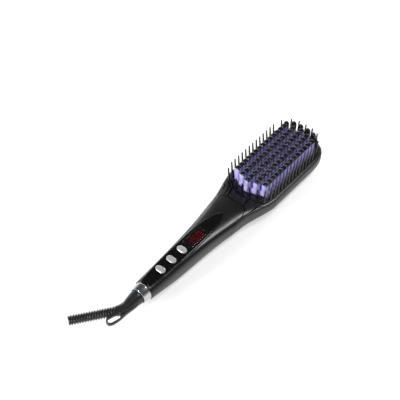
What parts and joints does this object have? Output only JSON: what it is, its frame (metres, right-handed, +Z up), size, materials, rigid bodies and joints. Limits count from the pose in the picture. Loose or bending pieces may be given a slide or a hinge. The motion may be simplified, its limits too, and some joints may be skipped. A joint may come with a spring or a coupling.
{
  "type": "heated hair straightener brush",
  "caption": "Paddle-shaped heated brush with anodised comb teeth, guard pins, a handle with push buttons and a number display, and a swivelling cord boot.",
  "frame": {"origin": "centre of the flat on the back of the head, which the brush rests on", "axes": "+X along the brush towards the tip of the head, +Z up through the teeth, +Y to the left seen from the cord end"},
  "size_m": [0.3313, 0.0641, 0.0407],
  "materials": {
    "gloss_black_abs": "polished",
    "frame_abs": "satin",
    "lower_abs": "satin",
    "pin_nylon": "satin",
    "violet_anodised_aluminium": "anodised",
    "cap_plastic": "satin",
    "heat_resin": "matte",
    "alumina": "matte",
    "mica": "satin",
    "zinc_steel": "plated",
    "glass_bead": "clear",
    "panel_acrylic": "polished",
    "smoked_lens": "polished",
    "red_led": "emissive",
    "module_plastic": "matte",
    "circuit_board": "satin",
    "capacitor_sleeve": "satin",
    "relay_case": "satin",
    "silver_button": "painted silver",
    "plunger_plastic": "matte",
    "red_lead": "satin",
    "blue_lead": "satin",
    "collar_chrome": "polished",
    "boot_rubber": "satin",
    "contact_brass": "polished"
  },
  "bodies": {
    "brush": {"handle_shell": "gloss_black_abs", "head_frame": "frame_abs", "bottom_shell": "lower_abs", "pin_ring": "pin_nylon", "heating_comb": "violet_anodised_aluminium", "tooth_caps": "cap_plastic", "comb_carrier": "heat_resin", "ceramic_heaters": "alumina", "mica_sheet": "mica", "heater_clamp": "zinc_steel", "thermistor": "glass_bead", "thermal_fuse": "zinc_steel", "control_panel": "panel_acrylic", "display_lens": "smoked_lens", "display_digits": "red_led", "display_module": "module_plastic", "main_board": "circuit_board", "power_capacitor": "capacitor_sleeve", "relay": "relay_case", "tact_switches": "module_plastic", "ion_generator": "module_plastic", "ion_needles": "zinc_steel", "heater_leads": "red_lead", "supply_leads": "blue_lead", "collar_ring": "collar_chrome", "swivel_socket": "relay_case", "case_screws": "zinc_steel", "board_screws": "zinc_steel"},
    "power_key": {"button_power": "silver_button", "plunger_power": "plunger_plastic"},
    "down_key": {"button_down": "silver_button", "plunger_down": "plunger_plastic"},
    "up_key": {"button_up": "silver_button", "plunger_up": "plunger_plastic"},
    "boot": {"swivel_boot": "boot_rubber", "swivel_pin": "contact_brass"}
  },
  "joints": [
    {"name": "power_press", "type": "slide", "parent": "brush", "child": "power_key", "axis": [0, 0, -1], "range_m": [0, 0.0005], "stiffness_N_per_m": 800, "springref_m": -0.0005},
    {"name": "down_press", "type": "slide", "parent": "brush", "child": "down_key", "axis": [0, 0, -1], "range_m": [0, 0.0005], "stiffness_N_per_m": 800, "springref_m": -0.0005},
    {"name": "up_press", "type": "slide", "parent": "brush", "child": "up_key", "axis": [0, 0, -1], "range_m": [0, 0.0005], "stiffness_N_per_m": 800, "springref_m": -0.0005},
    {"name": "boot_swivel", "type": "hinge", "parent": "brush", "child": "boot", "pos_m": [-0.2142, 0, 0.0154], "axis": [1, 0, 0], "continuous": true}
  ]
}
